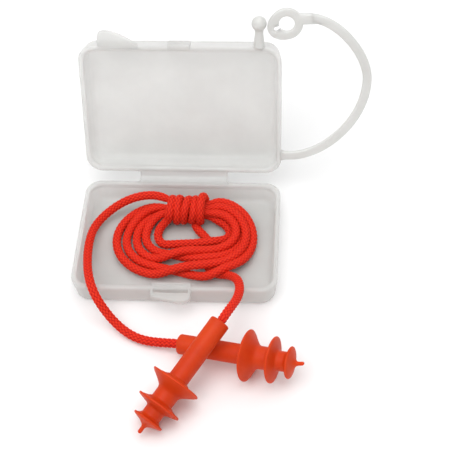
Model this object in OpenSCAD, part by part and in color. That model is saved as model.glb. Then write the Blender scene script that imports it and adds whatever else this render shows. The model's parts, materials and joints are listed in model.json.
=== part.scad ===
// Corded reusable ear plugs in an open clamshell carry case.
// The origin is the centre of the case's resting face. +Z is up and +Y runs to the case's hinge.

/* [Case] */
// Width of the case along its hinge
case_w = 52; // [50:0.5:54]
// Depth of each half of the case, front to hinge
case_d = 36; // [35:0.5:37]
// Height of the base tray
base_h = 6.8; // [6.4:0.1:7.2]
// Height of the lid shell
lid_h = 6.6; // [6.2:0.1:6.8]
// Thickness of the moulded walls
wall_t = 1.1; // [0.9:0.1:1.3]
// Corner radius of the rim, seen from above
corner_r = 4.2; // [3:0.1:5]
// Draft of the walls from the rim to the floor
draft = 0.6; // [0.3:0.1:0.9]
// How far the lid stands open, from fully closed
lid_open = 109; // [60:1:179]

/* [Hinge and catch] */
// Width of the hinge web
web_w = 23.4; // [18:0.2:28]
// Gap between the two rims that the hinge web bridges
web_gap = 2.8; // [2.4:0.1:3.2]
// Thickness of the hinge web
web_t = 0.4; // [0.3:0.05:0.5]
// Width of the front catch on the base
catch_w = 10; // [9:0.5:11]
// How far the base's thumb tab stands out in front
catch_reach = 3.6; // [3:0.1:3.8]
// Width of the lid's latch tongue
tongue_w = 5.8; // [5:0.2:6.4]
// Width of the lid's thumb tab
thumb_w = 10; // [8:0.5:11]
// How far the lid's thumb tab stands out
thumb_reach = 4; // [3:0.1:4.4]

/* [Strap] */
// Width of the carry strap
strap_w = 2.3; // [2:0.1:2.6]
// Thickness of the carry strap
strap_t = 1.2; // [1:0.1:1.4]
// Radius of the ball that the eyelet snaps over
ball_r = 1.9; // [1.7:0.05:1.95]
// Radius of the eyelet's round hole
eyelet_hole_r = 1.95; // [1.8:0.05:2.1]

/* [Plugs] */
// Radius of the plug's stem
stem_r = 2.47; // [2.3:0.01:2.5]
// Radius of the large flange
large_r = 6.28; // [6:0.02:6.3]
// Radius of the middle flange
middle_r = 5.6; // [5.3:0.05:5.62]
// Radius of the small flange
small_r = 3.88; // [3.6:0.02:4]
// Length of a plug from its stem end to the tip of its nib
plug_len = 32; // [31.7:0.1:32.4]

/* [Cord] */
// Diameter of the braided cord
cord_d = 2.3; // [2.1:0.05:2.3]

/* [Hidden] */

shell_color = "gainsboro";
plug_color = "orangered";
cord_color = "red";
round_fn = 48;
hull_fn = 32;
eps = 0.01;

// The hinge axis runs along X through the middle of the web, level with the base's rim.
hinge_y = case_d / 2 + web_gap / 2;
hinge_z = base_h;

// Rounding along the bottom edge of each shell
edge_r = 1.5;
// Height of the thicker band round the rim and how far it stands in from the wall
band_h = 1.4;
band_t = 0.25;

// The catch slot in the base, behind the front wall's outer face
slot_w = 8.6;
slot_d = 1.3;
slot_y = -case_d / 2 - 0.9;
catch_x = -0.45;
catch_t = 1.3;

// The lid's own frame has x along the hinge, y from the hinge axis to the front, z out of the rim.
rim_start = web_gap / 2;
rim_end = rim_start + case_d;
thumb_left = -20.7;
thumb_t = 1.2;
post_x = 20.2;
ball_y = rim_end + 5.9;
strap_z = 1.3;
neck_r = 1.1;

// The strap's centre line, in the lid's frame: two cubic curves that meet where it is widest out.
strap_pivot = [28.1, rim_start + 5];
strap_low = [strap_pivot, [37, rim_start + 5], [47.6, rim_start + 15.5], [47.6, rim_start + 27]];
strap_high = [[47.6, rim_start + 27], [47.6, rim_start + 33.5], [40.5, rim_start + 42.8],
  [33.2, rim_start + 43.5]];
strap_steps = 12;
// The eyelet's neck ends here, a little short of the strap's end, so that it can tip
neck_x = 32.6;
neck_y = rim_start + 43.5;
eyelet_big = [27.1, rim_start + 42];
eyelet_small = [25.4, rim_start + 41.1];
eyelet_big_r = 4.05;
eyelet_small_r = 3.15;
// The narrow end of the keyhole, towards the ball
keyhole_end = [24.4, rim_start + 40.75];
keyhole_r = 0.6;

// Where each plug's stem end lies, its heading round Z and its tilt down from level
plug_a_at = [13.1, -32, 13.6];
plug_a_heading = -126.8;
plug_a_tilt = 20;
plug_b_at = [2.6, -31.7, 3.3];
plug_b_heading = -15.7;
plug_b_tilt = -9.5;

// Stations along a plug from its stem end
core_start = 17.2;
large_z = [17, 17.7, 20.5];
middle_z = [23.4, 24.2, 25.4];
small_z = [27.7, 28.4, 30];
rim_half = 0.25;
core_one_r = 2.78;
core_two_r = 2.4;
core_step = 24.2;
core_end = 28.6;
nib_r = 0.48;
stem_round = 0.5;
cord_bore_depth = 8;

// The coil lies on the tray's floor as a long loop, bound by the cord's own wraps at the back.
floor_z = wall_t;
coil_h = 4.7;
coil_left = -5.2;
coil_right = 7.8;
coil_y = 0.8;
coil_r = 13.2;
hole_left = -3;
hole_right = 9.4;
hole_y = 2.5;
hole_r = 3.1;
wrap_x = [-4.2, 7.4];
wrap_y = 9.4;
wrap_r = 3.95;
wrap_z = floor_z + wrap_r;

// The two tails' routes, from the coil out over the front rim to the plugs
tail_left_route = [[-3.6, 11.7, 6.75], [-5.3, 12.6, 7.1], [-8, 12.8, 7.1], [-10.1, 12.5, 7.1],
  [-12, 12, 7.05], [-14.1, 11.6, 6.4], [-16.2, 11.2, 5.3], [-18.3, 10.3, 4.2], [-20.2, 8.9, 3.5],
  [-21.5, 7.4, 3.1], [-22.7, 5, 3.1], [-23.1, 0.2, 4.6], [-23, -5.2, 5.4], [-22.2, -11.2, 6.4],
  [-21.1, -15.5, 7.8], [-20, -18.9, 8.3], [-18.6, -21.5, 7.4], [-16.6, -23.3, 4.9], [-14.7, -24.9, 3],
  [-12.6, -26.4, 1.8], [-10.3, -28, 1.35], [-7.7, -29.4, 1.3], [-4.4, -30.2, 1.6], [-1.1, -30.9, 2.4],
  [2.1, -31.57, 3.2]];
tail_right_route = [[11.8, -9.7, 2.4], [13.4, -10.2, 3], [14.5, -11.2, 4], [15.5, -12.9, 5.4],
  [16.3, -14.9, 7], [16.75, -16.7, 8], [16.9, -18.3, 8.5], [16.9, -19.9, 9.2], [16.7, -22, 10.2],
  [16.25, -24.4, 11.6], [15.6, -26.6, 12.8], [14.75, -28.7, 13.7], [13.5, -31.45, 13.85]];
tail_sides = 8;
tail_substeps = 3;

// A rectangle with rounded corners, centred on the origin
module rounded_rect(w, d, r) {
  square([w - 2 * r, d], center = true);
  square([w, d - 2 * r], center = true);
  for (sx = [-1, 1], sy = [-1, 1])
    translate([sx * (w / 2 - r), sy * (d / 2 - r)])
      circle(r = r, $fn = hull_fn);
}

// A drafted, round-edged block that stands on its smaller face; the inset takes it inside the wall
module drafted_block(h, inset, floor_at) {
  w = case_w - 2 * inset;
  d = case_d - 2 * inset;
  r = corner_r - inset;
  hull() {
    translate([0, 0, h - eps])
      linear_extrude(eps) rounded_rect(w, d, r);
    translate([0, 0, floor_at + edge_r])
      linear_extrude(eps) rounded_rect(w - 2 * draft, d - 2 * draft, r - 0.1);
    translate([0, 0, floor_at + 0.4 * edge_r])
      linear_extrude(eps) rounded_rect(w - 2 * draft - edge_r / 2, d - 2 * draft - edge_r / 2, r - 0.3);
    translate([0, 0, floor_at])
      linear_extrude(eps) rounded_rect(w - 2 * draft - 2 * edge_r, d - 2 * draft - 2 * edge_r, r - 1);
  }
}

// An open tray of height h: thin drafted walls with a slightly thicker band round the rim
module tray(h) {
  difference() {
    drafted_block(h, 0, 0);
    difference() {
      drafted_block(h + eps, wall_t, wall_t);
      translate([0, 0, h - band_h])
        linear_extrude(band_h + 1)
          difference() {
            square([case_w + 2, case_d + 2], center = true);
            rounded_rect(case_w - 2 * wall_t - 2 * band_t, case_d - 2 * wall_t - 2 * band_t, corner_r - 1.2);
          }
    }
  }
}

// Places a child drawn in the lid's own frame
module at_lid() {
  translate([0, hinge_y, hinge_z])
    rotate([-lid_open, 0, 0])
      mirror([0, 1, 0])
        children();
}

// A tab that is steep at its left end and falls away in a curve to its right end
function lens(w, reach, low) = [[0, 0], [0, 0.72 * reach], [0.06 * w, 0.9 * reach], [0.16 * w, reach],
  for (i = [1:8]) let (t = i / 8) [(0.16 + 0.84 * t) * w, low + (reach - low) * cos(90 * t)], [w, 0]];

module case_base() {
  color(shell_color)
    difference() {
      tray(base_h);
      // A shallow notch where the catch block is let into the front wall
      translate([catch_x - catch_w / 2, -case_d / 2 - 1, base_h - catch_t])
        cube([catch_w, 3.4, catch_t + 1]);
    }
}

module base_catch() {
  color(shell_color)
    translate([catch_x, 0, base_h - catch_t])
      difference() {
        union() {
          translate([-catch_w / 2, -case_d / 2, 0])
            cube([catch_w, 2.4, catch_t]);
          translate([catch_w / 2, -case_d / 2, 0])
            rotate([0, 0, 180])
              linear_extrude(catch_t)
                polygon(lens(catch_w, catch_reach, 0.55 * catch_reach));
        }
        translate([-slot_w / 2, slot_y, -1])
          cube([slot_w, slot_d, catch_t + 2]);
      }
}

module hinge_leaf_base() {
  color(shell_color)
    translate([-web_w / 2, case_d / 2, base_h - web_t - 0.1])
      cube([web_w, web_gap / 2 - 0.05, web_t]);
}

module hinge_leaf_lid() {
  color(shell_color)
    at_lid()
      translate([-web_w / 2, 0.05, 0.1])
        cube([web_w, web_gap / 2 - 0.05, web_t]);
}

module case_lid() {
  color(shell_color)
    at_lid()
      translate([0, rim_start + case_d / 2, lid_h])
        mirror([0, 0, 1])
          tray(lid_h);
}

module latch_tongue() {
  color(shell_color)
    at_lid()
      translate([-tongue_w / 2, rim_end, -1.3])
        cube([tongue_w, 1, 3.6]);
}

module lid_thumb_tab() {
  color(shell_color)
    at_lid()
      translate([thumb_left, rim_end, 0])
        linear_extrude(thumb_t)
          polygon(lens(thumb_w, thumb_reach, 0.4 * thumb_reach));
}

module ball_post() {
  color(shell_color)
    at_lid()
      translate([post_x, 0, strap_z]) {
        translate([0, rim_end, 0])
          rotate([-90, 0, 0])
            cylinder(r = 1.25, h = 2, $fn = round_fn);
        translate([0, rim_end, 0])
          rotate([-90, 0, 0])
            cylinder(r = neck_r, h = 5.9, $fn = round_fn);
        translate([0, ball_y, 0])
          sphere(r = ball_r, $fn = round_fn);
      }
}

module strap_root() {
  stub = strap_pivot[0] - strap_w / 2 - 0.05 - case_w / 2;
  color(shell_color)
    at_lid()
      translate([case_w / 2, strap_pivot[1] - strap_w / 2, strap_z - strap_t / 2])
        cube([stub, strap_w, strap_t]);
}

function cubic(p, t) = pow(1 - t, 3) * p[0] + 3 * pow(1 - t, 2) * t * p[1]
  + 3 * (1 - t) * pow(t, 2) * p[2] + pow(t, 3) * p[3];
function unit(v) = v / norm(v);
function left_of(v) = [-v[1], v[0]];

module carry_strap() {
  line = [for (i = [0:strap_steps]) cubic(strap_low, i / strap_steps),
    for (i = [1:strap_steps]) cubic(strap_high, i / strap_steps)];
  last = len(line) - 1;
  side = [for (i = [0:last])
    unit(left_of(line[min(i + 1, last)] - line[max(i - 1, 0)])) * strap_w / 2];
  round_start = [for (a = [255:-15:105]) strap_pivot + strap_w / 2 * [cos(a), sin(a)]];
  outline = concat(round_start, [for (i = [0:last]) line[i] + side[i]],
    [for (i = [last:-1:0]) line[i] - side[i]]);
  color(shell_color)
    at_lid()
      translate([0, 0, strap_z - strap_t / 2])
        linear_extrude(strap_t)
          polygon(outline);
}

module strap_eyelet() {
  color(shell_color)
    at_lid()
      translate([0, 0, strap_z - strap_t / 2])
        linear_extrude(strap_t)
          difference() {
            union() {
              hull() {
                translate(eyelet_big)
                  circle(r = eyelet_big_r, $fn = hull_fn);
                translate(eyelet_small)
                  circle(r = eyelet_small_r, $fn = hull_fn);
              }
              translate([eyelet_big[0] + 3, neck_y - strap_w / 2])
                square([neck_x - eyelet_big[0] - 3, strap_w]);
            }
            translate(eyelet_big)
              circle(r = eyelet_hole_r, $fn = round_fn);
            hull() {
              translate(eyelet_big)
                circle(r = keyhole_r, $fn = hull_fn);
              translate(keyhole_end)
                circle(r = keyhole_r, $fn = hull_fn);
            }
          }
}

// A flat shape with two parallel sides and two round ends
module long_round(left, right, y, r) {
  for (x = [left, right])
    translate([x, y])
      circle(r = r, $fn = round_fn);
  translate([left, y - r])
    square([right - left, 2 * r]);
}

module cord_coil() {
  color(cord_color)
    difference() {
      translate([0, 0, floor_z + 0.05])
        linear_extrude(coil_h)
          difference() {
            long_round(coil_left, coil_right, coil_y, coil_r);
            long_round(hole_left, hole_right, hole_y, hole_r);
          }
      // The bundle goes into the wraps here
      translate([wrap_x[0], wrap_y - wrap_r - 1, 0])
        cube([wrap_x[1] - wrap_x[0], 2 * wrap_r + 3, 20]);
    }
}

module cord_wrap() {
  color(cord_color)
    translate([wrap_x[0], wrap_y, wrap_z + 0.05])
      rotate([0, 90, 0])
        cylinder(r = wrap_r, h = wrap_x[1] - wrap_x[0], $fn = round_fn);
}

// A point on the smooth curve through the points of route, at t from route[i] to route[i + 1]
function through(route, i, t) =
  let (a = route[max(i - 1, 0)], b = route[i], c = route[i + 1], d = route[min(i + 2, len(route) - 1)])
  0.5 * (2 * b + (c - a) * t + (2 * a - 5 * b + 4 * c - d) * t * t + (3 * b - 3 * c + d - a) * t * t * t);

// A tube of the cord's diameter, swept along the smooth curve through route
module tube(route) {
  ends = len(route) - 1;
  line = [for (i = [0:ends - 1], s = [0:tail_substeps - 1]) through(route, i, s / tail_substeps),
    route[ends]];
  last = len(line) - 1;
  rings = [for (i = [0:last])
    let (along = unit(line[min(i + 1, last)] - line[max(i - 1, 0)]),
         across = unit(cross(along, [0, 0, 1])),
         over = cross(across, along))
    [for (k = [0:tail_sides - 1])
      line[i] + cord_d / 2 * (cos(360 * k / tail_sides) * across + sin(360 * k / tail_sides) * over)]];
  points = [for (ring = rings, p = ring) p];
  sides = [for (i = [0:last - 1], k = [0:tail_sides - 1])
    let (a = i * tail_sides, b = a + tail_sides, n = (k + 1) % tail_sides)
    [a + k, a + n, b + n, b + k]];
  first_cap = [for (k = [tail_sides - 1:-1:0]) k];
  last_cap = [for (k = [0:tail_sides - 1]) last * tail_sides + k];
  polyhedron(points = points, faces = concat(sides, [first_cap, last_cap]));
}

module cord_tail_left() {
  color(cord_color) tube(tail_left_route);
}

module cord_tail_right() {
  color(cord_color) tube(tail_right_route);
}

// Places a child drawn along +Z from its stem end as plug A
module at_plug_a() {
  translate(plug_a_at)
    rotate([0, 90 + plug_a_tilt, plug_a_heading])
      children();
}

// Places a child drawn along +Z from its stem end as plug B
module at_plug_b() {
  translate(plug_b_at)
    rotate([0, 90 + plug_b_tilt, plug_b_heading])
      children();
}

// The glued end of the cord, inside the stem's bore
module glued_end() {
  color(cord_color)
    translate([0, 0, 0.6])
      cylinder(r = cord_d / 2, h = cord_bore_depth - 0.6, $fn = round_fn);
}

module cord_end_a() {
  at_plug_a() glued_end();
}

module cord_end_b() {
  at_plug_b() glued_end();
}

// The stem and the core that carries the flanges, bored at the stem end for the cord
module plug_stem() {
  quarter = [for (i = [0:4]) let (t = 90 * i / 4)
    [stem_r - stem_round + stem_round * sin(t), stem_round - stem_round * cos(t)]];
  color(plug_color)
    difference() {
      rotate_extrude($fn = round_fn)
        polygon(concat([[0, 0]], quarter, [[stem_r, core_start], [core_one_r, core_start],
          [core_one_r, core_step], [core_two_r, core_step], [core_two_r, core_end], [0, core_end]]));
      translate([0, 0, -1])
        cylinder(r = cord_d / 2, h = cord_bore_depth + 1, $fn = round_fn);
    }
}

// A thin flange of radius rim on a core of radius core, between the stations in z
module flange(rim, core, z) {
  waist = core + 0.4 * (rim - core);
  color(plug_color)
    rotate_extrude($fn = round_fn)
      polygon([[core, z[0]], [waist, z[0] + 0.1], [rim - 0.1, z[1] - rim_half], [rim, z[1]],
        [rim - 0.1, z[1] + rim_half], [waist, z[1] + 0.45 * (z[2] - z[1])], [core, z[2]]]);
}

module large_flange() {
  difference() {
    flange(large_r, stem_r, large_z);
    translate([0, 0, core_start])
      cylinder(r = core_one_r, h = 10, $fn = round_fn);
  }
}

module middle_flange() {
  difference() {
    flange(middle_r, core_two_r, middle_z);
    translate([0, 0, core_step - 5])
      cylinder(r = core_one_r, h = 5, $fn = round_fn);
  }
}

module small_flange() {
  difference() {
    flange(small_r, 0, small_z);
    translate([0, 0, core_end - 5])
      cylinder(r = core_two_r, h = 5, $fn = round_fn);
  }
}

module nib() {
  color(plug_color) {
    translate([0, 0, small_z[2]])
      cylinder(r = nib_r, h = plug_len - nib_r - small_z[2], $fn = round_fn);
    translate([0, 0, plug_len - nib_r])
      sphere(r = nib_r, $fn = round_fn);
  }
}

module plug_a_stem() { at_plug_a() plug_stem(); }
module plug_a_large_flange() { at_plug_a() large_flange(); }
module plug_a_middle_flange() { at_plug_a() middle_flange(); }
module plug_a_small_flange() { at_plug_a() small_flange(); }
module plug_a_nib() { at_plug_a() nib(); }
module plug_b_stem() { at_plug_b() plug_stem(); }
module plug_b_large_flange() { at_plug_b() large_flange(); }
module plug_b_middle_flange() { at_plug_b() middle_flange(); }
module plug_b_small_flange() { at_plug_b() small_flange(); }
module plug_b_nib() { at_plug_b() nib(); }

case_base();
base_catch();
hinge_leaf_base();
hinge_leaf_lid();
case_lid();
latch_tongue();
lid_thumb_tab();
ball_post();
strap_root();
carry_strap();
strap_eyelet();
cord_coil();
cord_wrap();
cord_tail_left();
cord_tail_right();
cord_end_a();
cord_end_b();
plug_a_stem();
plug_a_large_flange();
plug_a_middle_flange();
plug_a_small_flange();
plug_a_nib();
plug_b_stem();
plug_b_large_flange();
plug_b_middle_flange();
plug_b_small_flange();
plug_b_nib();
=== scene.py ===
import json
import math

import bmesh
import bpy
import numpy as np
from mathutils import Matrix, Vector


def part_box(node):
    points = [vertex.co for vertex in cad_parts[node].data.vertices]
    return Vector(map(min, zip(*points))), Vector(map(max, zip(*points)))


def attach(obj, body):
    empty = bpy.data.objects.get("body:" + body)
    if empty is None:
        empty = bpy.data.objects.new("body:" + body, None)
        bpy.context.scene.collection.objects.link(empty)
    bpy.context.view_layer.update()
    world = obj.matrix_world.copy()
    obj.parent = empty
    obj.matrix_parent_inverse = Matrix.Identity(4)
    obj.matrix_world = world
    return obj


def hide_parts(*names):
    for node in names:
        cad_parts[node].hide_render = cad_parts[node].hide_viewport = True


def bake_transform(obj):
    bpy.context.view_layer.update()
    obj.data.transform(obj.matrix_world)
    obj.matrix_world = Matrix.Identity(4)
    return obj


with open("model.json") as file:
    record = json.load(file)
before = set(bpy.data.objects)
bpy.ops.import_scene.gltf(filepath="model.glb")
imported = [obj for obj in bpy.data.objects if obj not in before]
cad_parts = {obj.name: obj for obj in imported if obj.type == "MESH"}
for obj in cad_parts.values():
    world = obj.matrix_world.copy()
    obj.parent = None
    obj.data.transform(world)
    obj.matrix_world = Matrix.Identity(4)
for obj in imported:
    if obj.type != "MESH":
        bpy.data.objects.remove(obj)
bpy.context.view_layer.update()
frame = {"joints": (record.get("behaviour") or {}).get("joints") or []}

# Lengths below are in millimetres and are turned into metres where a mesh is made.
MM = 0.001
JOINTS = {joint["name"]: joint for joint in frame["joints"]}


def millimetres(vector):
    return np.array([v / MM for v in vector])


# --- Camera, lights and floor ---------------------------------------------------------------

CAMERA_AT = (0.03144, -0.18986, 0.24125)
CAMERA_YAW, CAMERA_PITCH, CAMERA_ROLL = (math.radians(a) for a in (-5.777, 50.41, -3.395))
CAMERA_LENS = 94.13
LIGHTS_AIM_AT = (0, 0, 0.01)


def add_camera():
    level = math.cos(CAMERA_PITCH)
    ahead = Vector((math.sin(CAMERA_YAW) * level, math.cos(CAMERA_YAW) * level, -math.sin(CAMERA_PITCH)))
    right = Vector((math.cos(CAMERA_YAW), -math.sin(CAMERA_YAW), 0))
    up = right.cross(ahead)
    across = math.cos(CAMERA_ROLL) * right + math.sin(CAMERA_ROLL) * up
    over = math.cos(CAMERA_ROLL) * up - math.sin(CAMERA_ROLL) * right
    data = bpy.data.cameras.new("camera")
    data.lens = CAMERA_LENS
    data.sensor_width = 36
    data.clip_start = 0.01
    camera = bpy.data.objects.new("camera", data)
    turn = Matrix((across, over, -ahead)).transposed().to_4x4()
    camera.matrix_world = Matrix.Translation(CAMERA_AT) @ turn
    bpy.context.scene.collection.objects.link(camera)
    bpy.context.scene.camera = camera


def add_area_light(name, at, size, power):
    data = bpy.data.lights.new(name, "AREA")
    data.shape = "DISK"
    data.size = size
    data.energy = power
    light = bpy.data.objects.new(name, data)
    light.location = at
    light.rotation_euler = (Vector(LIGHTS_AIM_AT) - Vector(at)).to_track_quat("-Z", "Y").to_euler()
    bpy.context.scene.collection.objects.link(light)


def add_lights():
    world = bpy.data.worlds.new("studio")
    world.use_nodes = True
    background = world.node_tree.nodes["Background"]
    background.inputs["Color"].default_value = (1, 1, 1, 1)
    background.inputs["Strength"].default_value = 0.6
    bpy.context.scene.world = world
    add_area_light("key", at=(-0.12, -0.17, 0.45), size=0.4, power=1.05)
    add_area_light("fill", at=(0.08, 0.0, 0.5), size=0.4, power=0.75)
    add_area_light("rim", at=(0.05, 0.4, 0.3), size=0.3, power=0.3)
    bpy.context.scene.view_settings.view_transform = "Standard"


# --- Materials ------------------------------------------------------------------------------

MILK_DARK, MILK_LIGHT = (0.63, 0.632, 0.612), (0.7, 0.702, 0.682)
# Cord colours keyed to the braid's relief: painted shade for the hollows between strands, the cord's own
# red, and a painted highlight for the strand crests.
CORD_SHADED_HOLLOW, CORD_RED, CORD_LIT_CREST = (0.34, 0.006, 0.004), (0.66, 0.016, 0.007), (0.77, 0.036, 0.012)
ORANGE_DARK, ORANGE_LIGHT = (0.57, 0.039, 0.003), (0.65, 0.053, 0.0045)
FLOOR_DARK, FLOOR_LIGHT = (0.9, 0.9, 0.9), (0.92, 0.92, 0.92)
SPECKLE = 0.35


class Nodes:
    """A new material's node tree, with short calls to add and join nodes"""

    def __init__(self, name):
        self.material = bpy.data.materials.new(name)
        self.material.use_nodes = True
        self.tree = self.material.node_tree
        self.shader = self.tree.nodes["Principled BSDF"]
        self.output = self.tree.nodes["Material Output"]

    def add(self, kind, **values):
        node = self.tree.nodes.new(kind)
        for name, value in values.items():
            node.inputs[name.replace("_", " ")].default_value = value
        return node

    def join(self, source, target):
        self.tree.links.new(source, target)

    def set(self, **values):
        for name, value in values.items():
            self.shader.inputs[name.replace("_", " ")].default_value = value

    def noise(self, scale, detail=2.0):
        where = self.add("ShaderNodeTexCoord")
        noise = self.add("ShaderNodeTexNoise", Scale=scale, Detail=detail)
        self.join(where.outputs["Object"], noise.inputs["Vector"])
        return noise.outputs["Fac"]

    def ramp(self, factor, stops):
        ramp = self.add("ShaderNodeValToRGB")
        while len(ramp.color_ramp.elements) < len(stops):
            ramp.color_ramp.elements.new(0.5)
        for element, (at, colour) in zip(ramp.color_ramp.elements, stops):
            element.position = at
            element.color = (*colour, 1)
        self.join(factor, ramp.inputs["Fac"])
        return ramp.outputs["Color"]

    def between(self, factor, low, high):
        spread = self.add("ShaderNodeMapRange", To_Min=low, To_Max=high)
        self.join(factor, spread.inputs["Value"])
        return spread.outputs["Result"]

    def bump(self, height, distance, strength=1.0):
        bump = self.add("ShaderNodeBump", Distance=distance, Strength=strength)
        self.join(height, bump.inputs["Height"])
        self.join(bump.outputs["Normal"], self.shader.inputs["Normal"])


def shell_material(name, clear):
    """Milky moulded polypropylene: satin, cloudy inside, and a little see-through"""
    nodes = Nodes(name)
    nodes.set(Subsurface_Weight=0.55, Subsurface_Radius=(1.0, 0.97, 0.93), Subsurface_Scale=0.004, IOR=1.49,
              Specular_IOR_Level=0.45)
    cloud = nodes.noise(90, 3)
    nodes.join(nodes.ramp(cloud, [(0.3, MILK_DARK), (0.7, MILK_LIGHT)]), nodes.shader.inputs["Base Color"])
    nodes.join(nodes.between(nodes.noise(420), 0.28, 0.42), nodes.shader.inputs["Roughness"])
    nodes.bump(nodes.noise(1500), 0.00003, 0.6)
    see = nodes.add("ShaderNodeBsdfTransparent")
    mix = nodes.add("ShaderNodeMixShader", Fac=clear)
    nodes.join(nodes.shader.outputs["BSDF"], mix.inputs[1])
    nodes.join(see.outputs["BSDF"], mix.inputs[2])
    nodes.join(mix.outputs["Shader"], nodes.output.inputs["Surface"])
    return nodes.material


def cord_material():
    """Bright braided polyester with a soft fibre sheen; painted shade darkens the hollows between the
    strands and a painted highlight lightens their crests
    """
    nodes = Nodes("braided_cord")
    nodes.set(Roughness=0.62, Sheen_Weight=0.06, Sheen_Roughness=0.4, Sheen_Tint=(1, 0.45, 0.3, 1),
              Subsurface_Weight=0.12, Subsurface_Radius=(1.0, 0.2, 0.1), Subsurface_Scale=0.0006,
              Specular_IOR_Level=0.15)
    height = nodes.add("ShaderNodeAttribute")
    height.attribute_name = "braid"
    speckle = nodes.noise(1400, 3)
    blend = nodes.add("ShaderNodeMath")
    blend.operation = "MULTIPLY_ADD"
    blend.inputs[1].default_value = SPECKLE
    nodes.join(speckle, blend.inputs[0])
    nodes.join(height.outputs["Fac"], blend.inputs[2])
    # Painted shade and highlight: the lower the relief, the darker the red; the strand crests are painted
    # lighter.
    stops = [(0.2, CORD_SHADED_HOLLOW), (0.62, CORD_RED), (1.0, CORD_LIT_CREST)]
    nodes.join(nodes.ramp(blend.outputs["Value"], stops), nodes.shader.inputs["Base Color"])
    nodes.bump(nodes.noise(4200, 2), 0.00006, 0.8)
    return nodes.material


def plug_material():
    """Soft matt elastomer with a fine moulded skin"""
    nodes = Nodes("soft_plug")
    nodes.set(Subsurface_Weight=0.3, Subsurface_Radius=(1.0, 0.3, 0.05), Subsurface_Scale=0.0015,
              Specular_IOR_Level=0.22)
    stops = [(0.3, ORANGE_DARK), (0.7, ORANGE_LIGHT)]
    nodes.join(nodes.ramp(nodes.noise(160, 3), stops), nodes.shader.inputs["Base Color"])
    nodes.join(nodes.between(nodes.noise(900), 0.46, 0.6), nodes.shader.inputs["Roughness"])
    nodes.bump(nodes.noise(2600, 3), 0.00004, 0.7)
    return nodes.material


def floor_material():
    nodes = Nodes("floor")
    nodes.set(Roughness=0.8, Specular_IOR_Level=0.2)
    stops = [(0.3, FLOOR_DARK), (0.7, FLOOR_LIGHT)]
    nodes.join(nodes.ramp(nodes.noise(3), stops), nodes.shader.inputs["Base Color"])
    return nodes.material


# --- Mesh helpers ---------------------------------------------------------------------------

SMALLEST_CORNER_R = 0.05


def make_piece(name, points, faces, material):
    """A smooth-shaded mesh object from points in millimetres"""
    mesh = bpy.data.meshes.new(name)
    mesh.from_pydata((np.asarray(points) * MM).tolist(), [], faces)
    mesh.validate()
    shape = bmesh.new()
    shape.from_mesh(mesh)
    bmesh.ops.recalc_face_normals(shape, faces=shape.faces)
    shape.to_mesh(mesh)
    shape.free()
    mesh.shade_smooth()
    mesh.materials.append(material)
    piece = bpy.data.objects.new(name, mesh)
    bpy.context.scene.collection.objects.link(piece)
    return piece


def loft(rings, close_rings=False):
    """Points and faces of a skin over closed rings that all have the same number of points"""
    rings = [np.asarray(ring, float) for ring in rings]
    count, around = len(rings), len(rings[0])
    faces = []
    for i in range(count if close_rings else count - 1):
        a, b = i * around, (i + 1) % count * around
        for k in range(around):
            n = (k + 1) % around
            faces.append((a + k, a + n, b + n, b + k))
    if not close_rings:
        faces.append(tuple(range(around - 1, -1, -1)))
        faces.append(tuple((count - 1) * around + k for k in range(around)))
    return np.concatenate(rings), faces


def at_height(outline, z):
    """The points of a flat outline at one height"""
    return np.column_stack([outline, np.full(len(outline), z)])


def rounded_ring(width, depth, radius, along=10, corner=8):
    """Points round a rectangle with rounded corners, anticlockwise, centred on the origin"""
    radius = max(radius, SMALLEST_CORNER_R)
    inner = np.array([width / 2 - radius, depth / 2 - radius])
    centres = [inner * sign for sign in ((1, 1), (-1, 1), (-1, -1), (1, -1))]
    points = []
    for i, centre in enumerate(centres):
        for k in range(corner + 1):
            turn = math.radians(90 * (i + k / corner))
            points.append(centre + radius * np.array([math.cos(turn), math.sin(turn)]))
        side_start = points[-1]
        to_next = centres[(i + 1) % 4] - centre
        for k in range(1, along):
            points.append(side_start + to_next * k / along)
    return np.array(points)


def turned(profile, around):
    """Points and faces of a shape turned round Z from a profile of (radius, height)"""
    turns = np.arange(around) * 2 * math.pi / around
    circle = np.stack([np.cos(turns), np.sin(turns)], 1)
    return loft([at_height(r * circle, z) for r, z in profile])


def arc(centre, radius, start, end, steps):
    """Points of an arc between two angles in degrees"""
    turns = np.radians(np.linspace(start, end, steps + 1))
    return [(centre[0] + radius * math.cos(t), centre[1] + radius * math.sin(t)) for t in turns]


def outward(outline):
    """The outward normals of a closed anticlockwise outline in a plane"""
    ahead = np.roll(outline, -1, 0) - outline
    ahead /= np.linalg.norm(ahead, axis=1)[:, None]
    along = ahead + np.roll(ahead, 1, 0)
    along /= np.linalg.norm(along, axis=1)[:, None]
    return np.column_stack([along[:, 1], -along[:, 0]])


def rounded_edge(low, high, edge):
    """(Inset, height) up a plate's rounded edge, from its lower face to its upper face"""
    return arc((edge, low + edge), edge, 270, 180, 4) + arc((edge, high - edge), edge, 180, 90, 4)


def slab(outline, low, high, edge):
    """A flat plate with rounded edges; its last axis runs from low to high"""
    normal = outward(outline)
    return loft([at_height(outline - normal * inset, z) for inset, z in rounded_edge(low, high, edge)])


def lengths_along(line):
    """How far each point of a polyline is from its start, along it"""
    return np.concatenate([[0], np.cumsum(np.linalg.norm(np.diff(line, axis=0), axis=1))])


def resample(points, step):
    """Points a step apart along a polyline"""
    points = np.asarray(points, float)
    length = lengths_along(points)
    at = np.linspace(0, length[-1], max(2, round(length[-1] / step) + 1))
    return np.column_stack([np.interp(at, length, points[:, k]) for k in range(points.shape[1])])


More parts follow.
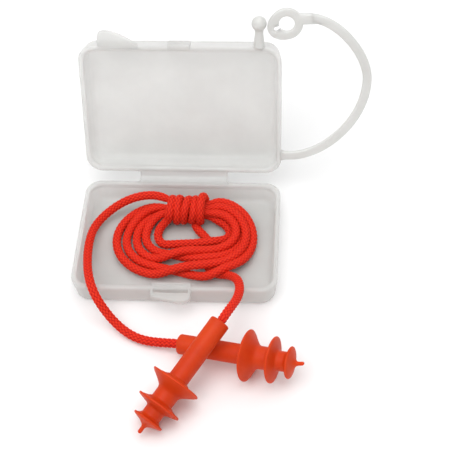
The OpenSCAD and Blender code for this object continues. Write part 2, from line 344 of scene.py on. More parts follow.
def smooth_curve(points, substeps):
    """A Catmull-Rom curve through the points"""
    points = np.asarray(points, float)
    padded = np.vstack([2 * points[0] - points[1], points, 2 * points[-1] - points[-2]])
    line = []
    for a, b, c, d in zip(padded, padded[1:], padded[2:], padded[3:]):
        for t in np.arange(substeps) / substeps:
            line.append(0.5 * (2 * b + (c - a) * t + (2 * a - 5 * b + 4 * c - d) * t ** 2
                               + (3 * b - 3 * c + d - a) * t ** 3))
    line.append(points[-1])
    return np.array(line)


def tangents(line):
    """The unit direction of a line at each of its points"""
    along = np.gradient(line, axis=0)
    return along / np.linalg.norm(along, axis=1)[:, None]


def tube_frames(line):
    """Tangents and two normals along a line, carried forward without twisting"""
    along = tangents(line)
    first = np.cross(along[0], [0, 0, 1])
    if np.linalg.norm(first) < 0.1:
        first = np.cross(along[0], [1, 0, 0])
    across = [first / np.linalg.norm(first)]
    for tangent in along[1:]:
        carried = across[-1] - tangent * np.dot(across[-1], tangent)
        across.append(carried / np.linalg.norm(carried))
    across = np.array(across)
    return along, across, np.cross(along, across)


# --- The lid's own frame --------------------------------------------------------------------

HINGE = millimetres(JOINTS["lid_hinge"]["pos_m"])
LID_OPEN = math.radians(109)


def from_lid(points):
    """Points from the lid's frame (along the hinge, from hinge to front, out of the rim) to the row's"""
    x, y, z = np.asarray(points, float).T
    return np.column_stack([x, HINGE[1] - y * math.cos(LID_OPEN) + z * math.sin(LID_OPEN),
                            HINGE[2] + y * math.sin(LID_OPEN) + z * math.cos(LID_OPEN)])


# --- The case -------------------------------------------------------------------------------

BASE_LOW, BASE_HIGH = (millimetres(corner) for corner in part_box("case_base"))
CASE_W = BASE_HIGH[0] - BASE_LOW[0]
CASE_D = BASE_HIGH[1] - BASE_LOW[1]
BASE_H = BASE_HIGH[2] - BASE_LOW[2]
LID_H = 6.6
WALL = 1.1
CORNER_R = 4.2
CORNER_TIGHTENS = 0.55
CORNER_LEAST_R = 1.6
DRAFT = 0.6
EDGE_R = 1.5
FILLET_R = 1.5
BAND_T = 0.25
BAND_H = 1.4
RIM_START = HINGE[1] - CASE_D / 2
RIM_ROUND = 0.55


def shell_profile(height):
    """(Inset, height) from the middle of the inside floor over the rim to the middle of the underside"""
    inner = WALL + DRAFT
    band = height - BAND_H
    profile = [(inner + 6, WALL), (inner + 2.2, WALL)]
    profile += arc((inner + FILLET_R, WALL + FILLET_R), FILLET_R, 270, 180, 6)
    profile += [(WALL + 0.12, band - 0.35), (WALL, band - 0.1)]
    profile += [(WALL + BAND_T * 0.8, band + 0.05), (WALL + BAND_T, band + 0.3)]
    profile += arc((WALL + BAND_T - RIM_ROUND, height - RIM_ROUND), RIM_ROUND, 0, 90, 4)
    profile += arc((RIM_ROUND, height - RIM_ROUND), RIM_ROUND, 90, 180, 4)
    profile += [(0.06, height - 1.2), (DRAFT - 0.04, EDGE_R + 0.3)]
    profile += arc((DRAFT + EDGE_R, EDGE_R), EDGE_R, 180, 270, 6)
    profile += [(DRAFT + EDGE_R + 0.8, 0), (DRAFT + EDGE_R + 5, 0)]
    return profile


def shell_rings(height):
    """The profile carried round the case, with tighter corners further in"""
    rings = []
    for inset, z in shell_profile(height):
        radius = max(CORNER_R - CORNER_TIGHTENS * inset, CORNER_LEAST_R)
        rings.append(at_height(rounded_ring(CASE_W - 2 * inset, CASE_D - 2 * inset, radius), z))
    return rings


def make_base(material):
    points, faces = loft(shell_rings(BASE_H))
    piece = make_piece("case_base_shell", points, faces, material)
    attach(piece, "base")
    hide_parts("case_base")


def make_lid(material):
    points, faces = loft(shell_rings(LID_H))
    points = points * [1, -1, 1]
    placed = np.column_stack([points[:, 0], points[:, 1] + RIM_START + CASE_D / 2, LID_H - points[:, 2]])
    piece = make_piece("case_lid_shell", from_lid(placed), faces, material)
    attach(piece, "lid")
    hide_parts("case_lid")


def lens(width, reach, low):
    """Half outline of a tab that is steep at its left end and falls away to its right end"""
    points = [(0, 0), (0, 0.45 * reach), (0.005 * width, 0.68 * reach), (0.03 * width, 0.85 * reach),
              (0.08 * width, 0.96 * reach), (0.16 * width, reach)]
    for t in np.linspace(0.1, 1, 12):
        points.append(((0.16 + 0.84 * t) * width, low + (reach - low) * math.cos(math.pi / 2 * t)))
    return points + [(width, 0)]


def polar_rays(centre, outline, directions):
    """Distance from centre to a closed outline round it, along each unit direction"""
    start = outline - centre
    side = np.roll(start, -1, 0) - start
    found = []
    for direction in directions:
        cross = direction[0] * side[:, 1] - direction[1] * side[:, 0]
        safe = np.where(np.abs(cross) < 1e-12, 1e-12, cross)
        reach = (start[:, 0] * side[:, 1] - start[:, 1] * side[:, 0]) / safe
        share = (start[:, 0] * direction[1] - start[:, 1] * direction[0]) / safe
        hit = (reach > 0) & (share > -1e-9) & (share < 1 + 1e-9)
        found.append(reach[hit].max())
    return np.array(found)


def soften(outline, step):
    """A closed outline with points a step apart and its corners cut twice"""
    outline = resample(np.vstack([outline, outline[:1]]), step)[:-1]
    for _ in range(2):
        ahead = np.roll(outline, -1, 0)
        outline = np.stack([0.8 * outline + 0.2 * ahead, 0.2 * outline + 0.8 * ahead], 1).reshape(-1, 2)
    return outline


CATCH_X = -0.45
CATCH_W = 10
CATCH_T = 1.3
CATCH_BACK = 2.4
CATCH_REACH = 3.6
SLOT_W = 8.6
SLOT_D = 1.3
SLOT_AT = -0.9
RIDGE_HALF_W = 4.2
# How far behind the case's front each ridge across the block lies, its width and its height.
RIDGES = [(1.75, 0.26, 0.3), (0.95, 0.2, 0.22), (-1.35, 0.22, 0.14)]


def make_catch(material):
    """The block let into the front wall: a slot for the lid's tongue, ridges behind it and a thumb tab"""
    front = -CASE_D / 2
    tab = [(CATCH_W / 2 - x, front - y) for x, y in lens(CATCH_W, CATCH_REACH, 0.55 * CATCH_REACH)]
    outline = np.array(tab + [(-CATCH_W / 2, front + CATCH_BACK), (CATCH_W / 2, front + CATCH_BACK)])[::-1]
    outline = soften(outline, 0.6)
    centre = np.array([0, front + SLOT_AT + SLOT_D / 2])
    slot = rounded_ring(SLOT_W, SLOT_D, 0.3, 24, 5)
    reach = np.linalg.norm(slot, axis=1)
    directions = slot / reach[:, None]
    edge = polar_rays(centre, outline, directions)
    top = BASE_H

    def ring(distance, z):
        return at_height(centre + directions * distance[:, None], z)

    rings = [ring(reach, top - CATCH_T), ring(reach, top - 0.25), ring(reach + 0.06, top - 0.08)]
    inner, outer = reach + 0.2, edge - 0.3
    for share in np.linspace(0, 1, 16):
        middle = ring(inner + (outer - inner) * share, top)
        x, y = middle[:, 0], middle[:, 1] - front
        inside = 1 / (1 + np.exp((np.abs(x) - RIDGE_HALF_W) * 8))
        for at, width, height in RIDGES:
            middle[:, 2] += inside * height * np.exp(-((y - at) / width) ** 2)
        rings.append(middle)
    rings += [ring(edge - 0.1, top - 0.08), ring(edge, top - 0.3)]
    rings += [ring(edge, top - CATCH_T + 0.25), ring(edge - 0.1, top - CATCH_T + 0.06),
              ring(edge - 0.3, top - CATCH_T)]
    points, faces = loft(rings, close_rings=True)
    piece = make_piece("base_catch_block", points + [CATCH_X, 0, 0], faces, material)
    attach(piece, "base")
    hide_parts("base_catch")


RIM_END = RIM_START + CASE_D
THUMB_LEFT = -20.7
THUMB_W = 10
THUMB_REACH = 4
THUMB_LOW, THUMB_HIGH = 0.14, 1.2
THUMB_ROOT = RIM_END - 0.8
TONGUE_W = 5.8
TONGUE_LONG = 3.6
TONGUE_LOW, TONGUE_HIGH = -0.4, 0.85
BARB = 0.3


def make_thumb_tab(material):
    outline = [(THUMB_LEFT + x, RIM_END + y) for x, y in lens(THUMB_W, THUMB_REACH, 0.12 * THUMB_REACH)]
    outline = [(THUMB_LEFT, THUMB_ROOT)] + outline[:-1] + [(THUMB_LEFT + THUMB_W + 0.6, THUMB_ROOT)]
    points, faces = slab(soften(np.array(outline)[::-1], 0.5), THUMB_LOW, THUMB_HIGH, 0.32)
    piece = make_piece("lid_tab", from_lid(points), faces, material)
    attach(piece, "lid")
    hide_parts("lid_thumb_tab")


def make_tongue(material):
    """The tongue that hangs from the lid's front wall, with a small barb near its end"""
    outline = rounded_ring(TONGUE_W, TONGUE_LONG, 0.5, 8, 5) + [0, 0.5]
    points, faces = slab(outline, TONGUE_LOW, TONGUE_HIGH, 0.2)
    x, z, y = points.T
    barb = BARB * np.exp(-((z + 0.75) / 0.35) ** 2) * (y > 0.5)
    piece = make_piece("lid_latch", from_lid(np.column_stack([x, RIM_END + y + barb, z])), faces, material)
    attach(piece, "lid")
    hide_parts("latch_tongue")


POST_X = 20.2
STRAP_Z = 1.3
BALL_R = 1.9
BALL_AT = 5.9
POST_NECK_R = 1.16


def make_ball_post(material):
    """The waisted post on the lid's front wall, with the ball that holds the eyelet"""
    profile = [(1.5, -0.5), (1.45, 0.05), (1.32, 0.3), (1.27, 0.9), (1.25, 1.9)]
    profile += [(POST_NECK_R, 2.5), (1.1, 3.2), (1.1, 4.0), (1.13, 4.2)]
    neck = math.degrees(math.asin(POST_NECK_R / BALL_R))
    profile += arc((0, BALL_AT), BALL_R, neck - 90 + 4, 89, 16)
    points, faces = turned(profile, 48)
    placed = np.column_stack([points[:, 0] + POST_X, points[:, 2] + RIM_END, points[:, 1] + STRAP_Z])
    piece = make_piece("ball_stud", from_lid(placed), faces, material)
    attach(piece, "lid")
    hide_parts("ball_post")


STRAP_W = 2.3
STRAP_T = 1.2
STRAP_EDGE_R = 0.42
STRAP_PIVOT = (28.1, RIM_START + 5)
STRAP_FAR = (47.6, RIM_START + 27)
STRAP_END = (33.2, RIM_START + 43.5)
STRAP_LOW = (STRAP_PIVOT, (37, RIM_START + 5), (STRAP_FAR[0], RIM_START + 15.5), STRAP_FAR)
STRAP_HIGH = (STRAP_FAR, (STRAP_FAR[0], RIM_START + 33.5), (40.5, RIM_START + 42.8), STRAP_END)


def cubic(controls, steps):
    a, b, c, d = (np.array(point) for point in controls)
    t = np.linspace(0, 1, steps + 1)[:, None]
    return (1 - t) ** 3 * a + 3 * (1 - t) ** 2 * t * b + 3 * (1 - t) * t ** 2 * c + t ** 3 * d


def make_strap(material):
    """One moulded strap: it grows out of the lid's side wall and tapers inside the eyelet's neck"""
    root = [(CASE_W / 2 - 0.5, STRAP_PIVOT[1]), (CASE_W / 2 + 0.6, STRAP_PIVOT[1])]
    line = resample(np.vstack([root, cubic(STRAP_LOW, 40), cubic(STRAP_HIGH, 40)[1:]]), 0.45)
    along = tangents(line)
    side = np.column_stack([-along[:, 1], along[:, 0]])
    rings = []
    for at, across in zip(line, side):
        flare = 0.7 * math.exp(-max(at[0] - CASE_W / 2, 0) / 0.5) if at[1] < 10 else 0
        taper = 0.45 * max(0, STRAP_END[0] + 0.25 - at[0]) if at[1] > 40 else 0
        section = rounded_ring(STRAP_W + flare - taper, STRAP_T + 0.3 * flare - taper, STRAP_EDGE_R, 3, 4)
        rings.append(np.column_stack([at + across * section[:, :1], STRAP_Z + section[:, 1]]))
    points, faces = loft(rings)
    piece = make_piece("carry_loop", from_lid(points), faces, material)
    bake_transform(piece)
    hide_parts("carry_strap", "strap_root")


EYELET_BIG = np.array([27.1, RIM_START + 42])
EYELET_SMALL = np.array([25.4, RIM_START + 41.1])
EYELET_BIG_R = 4.05
EYELET_SMALL_R = 3.15
HOLE_R = 1.95
LOBE_AT = 2.98
LOBE_R = 0.62
# Angles in degrees off the way from the round hole to the slot: the slot, its flank and the bump beside it.
LOBE_ENDS, FLANK_ENDS = 16.9, 19.9
FLANK_FROM, FLANK_TO = 3.1, 2.25
BUMP_AT, BUMP_WIDTH, BUMP_HEIGHT = 21.5, 4.5, 0.3
EYELET_BULGE = 0.8
NECK_END = 33.9
NECK_Y = STRAP_END[1]
TO_SLOT = EYELET_SMALL - EYELET_BIG


def ray_to_circle(direction, centre, radius):
    """Distance from the origin to a circle's far side along a direction, or 0 where it misses"""
    middle = direction @ centre
    left = radius ** 2 - (centre @ centre - middle ** 2)
    return middle + math.sqrt(left) if left > 0 else 0


def unit(angle):
    """The direction at an angle in radians"""
    return np.array([math.cos(angle), math.sin(angle)])


def hole_reach(off):
    """How far the hole reaches from its centre, at an angle in degrees off the way to the slot"""
    hole = HOLE_R + BUMP_HEIGHT * math.exp(-((off - BUMP_AT) / BUMP_WIDTH) ** 2)
    if off < LOBE_ENDS:
        lobe = ray_to_circle(unit(math.radians(off)), np.array([LOBE_AT, 0]), LOBE_R)
        return max(hole, lobe)
    if off < FLANK_ENDS:
        down = (off - LOBE_ENDS) / (FLANK_ENDS - LOBE_ENDS)
        return max(hole, FLANK_FROM - (FLANK_FROM - FLANK_TO) * down)
    return hole


def eyelet_reach(direction):
    """How far the eyelet's outside is from the hole's centre: two joined rounds, and the strap's neck"""
    reach = 0
    for t in np.linspace(0, 1, 14):
        radius = EYELET_BIG_R + (EYELET_SMALL_R - EYELET_BIG_R) * t + EYELET_BULGE * t * (1 - t)
        reach = max(reach, ray_to_circle(direction, TO_SLOT * t, radius))
    if direction[0] <= 0.5:
        return reach
    neck = NECK_Y - EYELET_BIG[1]
    to_end = (NECK_END - EYELET_BIG[0]) / direction[0]
    height = to_end * direction[1] - neck + 0.07
    if abs(height) < STRAP_W / 2:
        return max(reach, to_end)
    side = neck + math.copysign(STRAP_W / 2, height)
    return max(reach, side / direction[1]) if side * direction[1] > 0 else reach


def make_eyelet(material):
    """The flat eyelet: a round hole that narrows between two small bumps into a side slot"""
    near = np.concatenate([np.arange(0, 16, 2), np.arange(16, 24, 0.6), np.arange(24, 34, 2)])
    turns = np.concatenate([near, np.arange(34, 327, 3), 360 - near[:0:-1]])
    slot_turn = math.atan2(TO_SLOT[1], TO_SLOT[0])
    directions = np.array([unit(slot_turn + math.radians(turn)) for turn in turns])
    inner = np.array([hole_reach(min(turn, 360 - turn)) for turn in turns])
    outer = np.array([eyelet_reach(direction) for direction in directions])

    def ring(distance, z):
        return at_height(EYELET_BIG + directions * distance[:, None], z)

    high = STRAP_Z + STRAP_T / 2
    edges = rounded_edge(STRAP_Z - STRAP_T / 2, high, STRAP_EDGE_R)
    flat = outer - inner - 2 * STRAP_EDGE_R
    rings = [ring(inner + inset, z) for inset, z in edges]
    rings += [ring(inner + STRAP_EDGE_R + flat * share, high) for share in (0.33, 0.67)]
    rings += [ring(outer - inset, z) for inset, z in edges[::-1]]
    points, faces = loft(rings, close_rings=True)
    piece = make_piece("loop_eyelet", from_lid(points), faces, material)
    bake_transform(piece)
    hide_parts("strap_eyelet")


WEB_W = 23.4
WEB_T = 0.3


def make_hinge_web(material):
    """The living hinge: a thin web from rim to rim, thinnest along its middle"""
    back = CASE_D / 2
    in_base = [(0, back - 0.6, BASE_H - 0.32), (0, back + 0.1, BASE_H - 0.3),
               (0, HINGE[1] - 0.5, BASE_H - 0.28)]
    bend = [(0, HINGE[1] + 0.12, BASE_H - 0.06)]
    in_lid = from_lid([(0, 0.5, 0.28), (0, RIM_START - 0.1, 0.3), (0, RIM_START + 0.6, 0.32)])
    line = resample(smooth_curve(np.vstack([in_base, bend, in_lid]), 8), 0.16)
    along = tangents(line)
    over = np.column_stack([np.zeros(len(line)), -along[:, 2], along[:, 1]])
    middle = len(line) / 2
    rings = []
    for i, (at, up) in enumerate(zip(line, over)):
        off = abs(i - middle) / middle
        width = WEB_W + 1.3 * max(0, off - 0.55) ** 2 * 6
        section = rounded_ring(width, WEB_T + 0.16 * off, 0.13, 20, 3)
        rings.append(at + np.column_stack([section[:, 0], section[:, 1:] * up[1:]]))
    points, faces = loft(rings)
    piece = make_piece("hinge_web", points, faces, material)
    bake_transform(piece)
    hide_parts("hinge_leaf_base", "hinge_leaf_lid")


# --- The cord -------------------------------------------------------------------------------

CORD_D = 2.3
FLOOR_Z = 1.1
CORD_REST = FLOOR_Z + CORD_D / 2
PLUG_A_AT = millimetres(JOINTS["plug_a_lift"]["pos_m"])
PLUG_B_AT = millimetres(JOINTS["plug_b_swing"]["pos_m"])

TAIL_LEFT = [(-3.6, 11.7, 6.75), (-5.3, 12.6, 7.1), (-8, 12.8, 7.1), (-10.1, 12.5, 7.1), (-12, 12, 7.05),
             (-14.1, 11.6, 6.4), (-16.2, 11.2, 5.3), (-18.3, 10.3, 4.2), (-20.2, 8.9, 3.5),
             (-21.5, 7.4, 3.1), (-22.7, 5, 3.1), (-23.1, 0.2, 4.6), (-23, -5.2, 5.4), (-22.2, -11.2, 6.4),
             (-21.1, -15.5, 7.8), (-20, -18.9, 8.3), (-18.6, -21.5, 7.4), (-16.6, -23.3, 4.9),
             (-14.7, -24.9, 3), (-12.6, -26.4, 1.8), (-10.3, -28, 1.35), (-7.7, -29.4, 1.3),
             (-4.4, -30.2, 1.6), (-1.1, -30.9, 2.4), (2.1, -31.57, 3.2)]
TAIL_RIGHT = [(11.8, -9.7, 2.4), (13.4, -10.2, 3), (14.5, -11.2, 4), (15.5, -12.9, 5.4), (16.3, -14.9, 7),
              (16.75, -16.7, 8), (16.9, -18.3, 8.5), (16.9, -19.9, 9.2), (16.7, -22, 10.2),
              (16.25, -24.4, 11.6), (15.6, -26.6, 12.8), (14.75, -28.7, 13.7), (13.5, -31.45, 13.85)]
# Where the cord leaves the wraps and lies on the tray's floor until TAIL_RIGHT starts.
UNDER_COIL = [(3.6, 7.3), (4.6, 5), (6.4, 2.8), (8, 0.5), (8.4, -2.3), (7.9, -4.8), (8, -7.1), (9.4, -9)]

WRAP_Y = 9.4
WRAP_Z = 5.05
WRAP_R = 2.8
WRAP_FROM, WRAP_TO = -3.3, 6.6
# Angles of the wraps are in degrees, counted on from turn to turn.
WRAP_STARTS, WRAP_ENDS = -30, 4 * 360 + 270
HUMP_AT, HUMP_WIDTH, HUMP_HEIGHT = 4 * 360 + 100, 60, 0.95
TUCK_TURN, TUCK = 110, 2.5
MOUTH_LEFT, MOUTH_RIGHT = -4.5, 7.5
# Where each turn of the coil passes through the wraps: how far behind and how far above their axis.
SLOTS = [(1.15, 0.75), (0, 0.75), (0.75, -0.85), (-1.15, 0.75), (-0.75, -0.85)]
# One row per turn of the coil: how far right it reaches and its height there, where it crosses the front on
# the right and on the left, how far left it reaches, and how far back it lies right and left of the wraps.
LANES = [(19.3, 3.2, -10.4, -8.0, -14.9, 13.3, 11.4), (18.1, 4.4, -8.4, -10.2, -17.2, 12.1, 12.5),
         (16.8, 2.3, -6.0, -3.6, -9.6, 10.9, 9.6), (15.5, 4.4, -3.6, -5.9, -12.1, 9.7, 10.6),
         (14.2, 2.3, -1.2, -0.9, -7.0, 8.6, 6.9)]
FRONT_Z = [2.3, 4.6, 4.6, 4.6, 4.6]
FRONT_RISE = [0, 0.9, 0, 0.9, 0]
LEFT_Z, LAST_LEFT_Z = 2.4, 3.2
# The outermost turn rises over the right tail at this angle, in degrees, of its right-hand bend.
OVER_TAIL_AT, OVER_TAIL_WIDTH, OVER_TAIL_HEIGHT = -52, 22, 2.3


def coil_turn(k):
    """One turn of the coil, from the right end of the wraps round the front to their left end"""
    right, right_z, front_right, front_left, left, top_right, top_left = LANES[k]
    leaves, arrives = SLOTS[k], SLOTS[(k + 1) % len(SLOTS)]
    left_z = LAST_LEFT_Z if k == len(LANES) - 1 else WRAP_Z + arrives[1]
    points = []
    middle, half = (top_right + front_right) / 2, (top_right - front_right) / 2
    for turn in np.linspace(80, -90, 15):
        t = math.radians(turn)
        if turn > 0:
            z = right_z + (WRAP_Z + leaves[1] - right_z) * math.sin(t) ** 1.5
        else:
            z = right_z + (FRONT_Z[k] - right_z) * abs(math.sin(t))
        if k == 0:
            z += OVER_TAIL_HEIGHT * math.exp(-((turn - OVER_TAIL_AT) / OVER_TAIL_WIDTH) ** 2)
        points.append((MOUTH_RIGHT + (right - MOUTH_RIGHT) * math.cos(t), middle + half * math.sin(t), z))
    for share in np.linspace(0.15, 0.85, 6):
        ease = share * share * (3 - 2 * share)
        points.append((MOUTH_RIGHT + (MOUTH_LEFT - MOUTH_RIGHT) * share,
                       front_right + (front_left - front_right) * ease, FRONT_Z[k] + FRONT_RISE[k]))
    middle, half = (top_left + front_left) / 2, (top_left - front_left) / 2
    for turn in np.linspace(90, -80, 15):
        t = math.radians(turn)
        z = LEFT_Z + (left_z - LEFT_Z) * max(0, -math.sin(t)) ** 2
        points.append((MOUTH_LEFT - (MOUTH_LEFT - left) * math.cos(t), middle - half * math.sin(t), z))
    sway = np.linspace(0, 1, len(points))
    return [(x + 0.35 * math.sin(9 * t + 1.9 * k), y + 0.3 * math.sin(13 * t + 2.3 * k), z)
            for (x, y, z), t in zip(points, sway)]


def wraps():
    """The cord's last turns, wound round the bundle; the last one has a hump and its end is tucked in"""
    points = []
    for turn in np.arange(WRAP_STARTS, WRAP_ENDS + 1, 20):
        share = (turn - WRAP_STARTS) / (WRAP_ENDS - WRAP_STARTS)
        t = math.radians(turn)
        hump = HUMP_HEIGHT * math.exp(-((turn - HUMP_AT) / HUMP_WIDTH) ** 2)
        radius = WRAP_R + hump + 0.12 * math.sin(2.3 * t + 1)
        x = WRAP_FROM + (WRAP_TO - WRAP_FROM) * share + 0.22 * math.sin(1.37 * t)
        x -= TUCK * max(0, (turn - WRAP_ENDS + TUCK_TURN) / TUCK_TURN) ** 2
        points.append((x, WRAP_Y - radius * math.cos(t), WRAP_Z + radius * math.sin(t)))
    return points


def cord_route():
    """The whole cord from plug B to plug A: points, and which of them are held while the coil settles"""
    line, held = [], []

    def extend(points, fixed):
        line.extend(points)
        held.extend([fixed] * len(points))

    extend(TAIL_LEFT[::-1], True)
    for k in range(len(LANES)):
        y, z = WRAP_Y + SLOTS[k][0], WRAP_Z + SLOTS[k][1]
        start = MOUTH_LEFT + 1.5 if k else MOUTH_LEFT + 3
        extend([(x, y, z) for x in np.linspace(start, MOUTH_RIGHT - 0.5, 6)], True)
        extend(coil_turn(k), False)
    extend(wraps(), True)
    extend([(x, y, CORD_REST) for x, y in UNDER_COIL], True)
    extend(TAIL_RIGHT, True)
    return np.array(line), np.array(held)


NODE_STEP = 1.15
SETTLED_R = CORD_D / 2 * 0.96
SQUEEZED_R = 0.56
FILLS_OUT_OVER = 4
SETTLE_STEPS = 260
SINK, PULL_BACK, STRAIGHTEN = 0.025, 0.03, 0.25
PUSH_SHARE, PUSH_MOST = 0.6, 0.25
RIGHT_TAIL_LENGTH = 26


def settle(line, held):
    """Lets the free stretches of the coil sink and rest beside and on each other"""
    fine = smooth_curve(line, 8)
    fixed = np.repeat(held[:-1] & held[1:], 8).tolist() + [True]
    length = lengths_along(fine)
    at = np.linspace(0, length[-1], round(length[-1] / NODE_STEP) + 1)
    nodes = np.column_stack([np.interp(at, length, fine[:, k]) for k in range(3)])
    still = np.interp(at, length, np.array(fixed, float)) > 0.5
    free = ~still
    # Inside the wraps the hollow braid is squeezed; away from them it fills out again.
    inside = (np.abs(nodes[:, 1] - WRAP_Y) < 1.6) & (np.abs(nodes[:, 2] - WRAP_Z) < 1.2)
    bundled = still & inside & (nodes[:, 0] > MOUTH_LEFT) & (nodes[:, 0] < MOUTH_RIGHT)
    marks = at[bundled]
    away = np.min(np.abs(at[:, None] - marks[None, :]), axis=1)
    radius = SQUEEZED_R + (SETTLED_R - SQUEEZED_R) * np.clip(away / FILLS_OUT_OVER, 0, 1)
    target = nodes.copy()
    index = np.arange(len(nodes))
    apart = np.abs(index[:, None] - index[None, :]) > 4
    reach = radius[:, None] + radius[None, :]
    movable = free.astype(float)
    share = movable[:, None] / np.maximum(movable[:, None] + movable[None, :], 1e-9)
    for _ in range(SETTLE_STEPS):
        nodes[free, 2] -= SINK
        nodes[free] += PULL_BACK * (target[free] - nodes[free])
        bent = (nodes[:-2] + nodes[2:]) / 2 - nodes[1:-1]
        nodes[1:-1][free[1:-1]] += STRAIGHTEN * bent[free[1:-1]]
        gap = nodes[:, None, :] - nodes[None, :, :]
        distance = np.linalg.norm(gap, axis=2) + 1e-9
        overlap = np.where(apart, np.maximum(reach - distance, 0), 0)
        push = (gap * (overlap * share / distance)[:, :, None]).sum(1)
        most = np.linalg.norm(push, axis=1)
        push *= np.minimum(1, PUSH_MOST / np.maximum(most, 1e-9))[:, None]
        nodes[free] += PUSH_SHARE * push[free]
        nodes[free, 2] = np.maximum(nodes[free, 2], (FLOOR_Z + radius)[free])
    # The free turns, the mouths of the bundle and the listed tails are evened out, the tails most.
    loose = free | np.convolve(bundled, np.ones(7), "same").astype(bool)
    tails = (at < marks[0]) | (at > at[-1] - RIGHT_TAIL_LENGTH)
    for passes, mask in ((4, loose | tails), (5, tails)):
        for _ in range(passes):
            softened = (nodes[:-2] + 2 * nodes[1:-1] + nodes[2:]) / 4
            nodes[1:-1][mask[1:-1]] = softened[mask[1:-1]]
    return nodes, radius


BRAID_STRANDS = 7
BRAID_PERIOD = 1.2
BRAID_DEPTH = 0.34
BRAID_STEP = 0.2
BRAID_SIDES = 42
CAP_TURNS = (25, 50, 72)


def braided_tube(name, line, thickness, material, ball_ends=(False, False)):
    """A tubular braid as real relief: two families of strands that pass over and under each other.
    thickness is the outer radius at each point of line. A ball end is closed by a half ball."""
    along, across, over = tube_frames(line)
    turns = np.arange(BRAID_SIDES) * 2 * math.pi / BRAID_SIDES
    round_it = BRAID_STRANDS * turns[None, :] / (2 * math.pi)
    down_it = lengths_along(line)[:, None] / BRAID_PERIOD
    u, v = round_it + down_it, round_it - down_it
    bulge_u, bulge_v = np.abs(np.sin(math.pi * u)), np.abs(np.sin(math.pi * v))
    first = (np.floor(u) + np.floor(v)) % 2 < 0.5
    height = np.where(first, bulge_u ** 0.7 * (0.5 + 0.5 * bulge_v ** 0.8),
                      bulge_v ** 0.7 * (0.5 + 0.5 * bulge_u ** 0.8))
    radius = thickness[:, None] - BRAID_DEPTH * (1 - height)
    cosines, sines = np.cos(turns)[None, :, None], np.sin(turns)[None, :, None]
    ring = across[:, None, :] * cosines + over[:, None, :] * sines
    rings = list(line[:, None, :] + ring * radius[:, :, None])
    heights = list(height)
    for end, closed in zip((0, -1), ball_ends):
        out = along[end] if end else -along[end]
        for turn in CAP_TURNS if closed else ():
            t = math.radians(turn)
            middle = line[end] + out * thickness[end] * math.sin(t)
            cap = middle + ring[end] * (radius[end] * math.cos(t))[:, None]
            rings.insert(len(rings) if end else 0, cap)
            heights.insert(len(heights) if end else 0, height[end])
    points, faces = loft(rings)
    piece = make_piece(name, points, faces, material)
    # The relief heights drive the cord material's painted shade in the hollows and painted highlight on the
    # crests.
    relief = piece.data.attributes.new("braid", "FLOAT", "POINT")
    relief.data.foreach_set("value", np.concatenate(heights).astype(np.float32))
    return piece


def make_cord(material):
    """The whole cord as one braided tube, thinner where the wraps squeeze it"""
    nodes, squeezed = settle(*cord_route())
    curve = smooth_curve(nodes, 6)
    at = np.linspace(0, len(nodes) - 1, len(curve))
    squeeze = np.interp(at, np.arange(len(nodes)), squeezed)
    line = resample(np.column_stack([curve, squeeze]), BRAID_STEP)
    thickness = np.clip(line[:, 3] + 0.08, 0.9, CORD_D / 2 + 0.04)
    line = line[:, :3]
    piece = braided_tube("neck_cord", line, thickness, material, (True, True))
    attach(piece, "cord")
    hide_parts("cord_coil", "cord_wrap", "cord_tail_left", "cord_tail_right")


# --- The plugs ------------------------------------------------------------------------------

STEM_R = 2.47
LARGE_R, MIDDLE_R, SMALL_R = 6.28, 5.6, 3.88
CORE_ONE_R, CORE_TWO_R = 2.78, 2.4
BORE_R = 1.18
BORE_DEPTH = 8
NIB_R = 0.48
PLUG_LEN = 32
FLANGE_TIP_R = 0.3
NIB_BENDS_FROM = 30
FLANGE_WAVE = 0.12
# Heights along the plug where each flange leaves the stem, has its rim and meets the core again.
LARGE_Z, MIDDLE_Z, SMALL_Z = (17, 17.7, 20.5), (23.4, 24.2, 25.4), (27.7, 28.4, 29.5)


def flange_profile(stem_r, rim, core_r, z):
    """A thin round-edged flange between the stations in z: hollowed a little on both faces"""
    root = 0.35
    stem_side = [(stem_r + (rim - stem_r) * t, z[0] - root + (z[1] - z[0]) * t ** 1.3 + root * min(1, 4 * t))
                 for t in (0.0, 0.06, 0.14, 0.25, 0.45, 0.65, 0.85)]
    edge = arc((rim - FLANGE_TIP_R, z[1]), FLANGE_TIP_R, -70, 75, 6)
    above = z[1] + FLANGE_TIP_R
    nib_side = [(core_r + (rim - core_r) * (1 - t) ** 1.25, above + (z[2] - above) * t)
                for t in (0.15, 0.3, 0.5, 0.7, 0.85)]
    return stem_side + edge + nib_side + [(core_r + 0.12, z[2] - 0.02), (core_r, z[2] + 0.3)]


def plug_profile():
    """(Radius, distance from the stem's open end), from the bore's bottom round the stem to the nib's tip"""
    profile = [(BORE_R, BORE_DEPTH), (BORE_R, 0.5), (BORE_R + 0.03, 0.2), (BORE_R + 0.2, 0.02)]
    profile += arc((STEM_R - 0.5, 0.5), 0.5, -90, 0, 6)
    profile += [(STEM_R, z) for z in (1, 4, 8, 12, 15.2, 16.4)]
    profile += flange_profile(STEM_R, LARGE_R, CORE_ONE_R, LARGE_Z)
    profile += [(CORE_ONE_R, 21.8), (CORE_ONE_R, 22.7)]
    profile += flange_profile(CORE_ONE_R, MIDDLE_R, CORE_TWO_R, MIDDLE_Z)
    profile += [(CORE_TWO_R, 26.4), (CORE_TWO_R, 27.1)]
    profile += flange_profile(CORE_TWO_R, SMALL_R, NIB_R + 0.9, SMALL_Z)[:-2]
    profile += [(NIB_R + 0.75, 29.6), (NIB_R + 0.3, 29.85), (NIB_R + 0.06, 30.2), (NIB_R, 30.6)]
    return profile + arc((0, PLUG_LEN - NIB_R), NIB_R, 0, 86, 6)


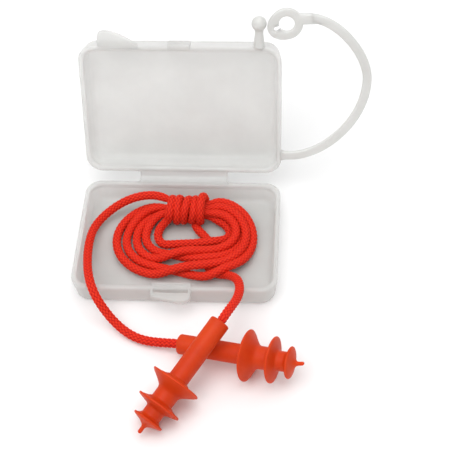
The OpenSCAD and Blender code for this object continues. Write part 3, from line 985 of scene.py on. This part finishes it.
def plug_placement(at, heading, tilt):
    """A function that lays a plug's points out from at, with its nib turned to the heading and tilt"""
    turn = Matrix.Rotation(math.radians(heading), 3, "Z") @ Matrix.Rotation(math.radians(90 + tilt), 3, "Y")
    turn = np.array(turn)
    return lambda points: points @ turn.T + at


def make_plug(letter, at, material, cord_finish, heading, tilt, nib_bend):
    """One soft moulding with slightly wavy flanges, and the stub of cord glued in its bore"""
    place = plug_placement(at, heading, tilt)
    points, faces = turned(plug_profile(), 96)
    past = np.maximum(points[:, 2] - NIB_BENDS_FROM, 0)
    points[:, 0] -= math.tan(math.radians(nib_bend)) * past
    turns = np.arctan2(points[:, 1], points[:, 0])
    beyond = np.clip((np.hypot(points[:, 0], points[:, 1]) - 3) / 3.3, 0, 1)
    points[:, 2] += FLANGE_WAVE * beyond * np.sin(2 * turns + at[0])
    piece = make_piece(f"plug_{letter}_body", place(points), faces, material)
    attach(piece, f"plug_{letter}")
    parts = ("stem", "large_flange", "middle_flange", "small_flange", "nib")
    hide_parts(*(f"plug_{letter}_{part}" for part in parts))
    line = place(np.column_stack([np.zeros(40), np.zeros(40), np.linspace(0, BORE_DEPTH - 0.1, 40)]))
    stub = braided_tube(f"glued_end_{letter}", line, np.full(40, BORE_R - 0.03), cord_finish)
    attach(stub, f"plug_{letter}")
    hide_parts(f"cord_end_{letter}")


def make_floor():
    size = 3
    points = [(-size, -size, 0), (size, -size, 0), (size, size, 0), (-size, size, 0)]
    piece = make_piece("studio_floor", np.array(points) / MM, [(0, 1, 2, 3)], floor_material())
    piece.location.z = -0.0001


# --- The object -----------------------------------------------------------------------------

add_camera()
cord_finish = cord_material()
make_cord(cord_finish)
add_lights()
shell_finish = shell_material("clear_shell", clear=0.54)
strap_finish = shell_material("clear_strap", clear=0.16)
plug_finish = plug_material()
make_base(shell_finish)
make_catch(shell_finish)
make_lid(shell_finish)
make_thumb_tab(shell_finish)
make_tongue(shell_finish)
make_ball_post(strap_finish)
make_strap(strap_finish)
make_eyelet(strap_finish)
make_hinge_web(shell_finish)
make_plug("a", PLUG_A_AT, plug_finish, cord_finish, heading=-126.8, tilt=20, nib_bend=0)
make_plug("b", PLUG_B_AT, plug_finish, cord_finish, heading=-15.7, tilt=-9.5, nib_bend=17)
make_floor()
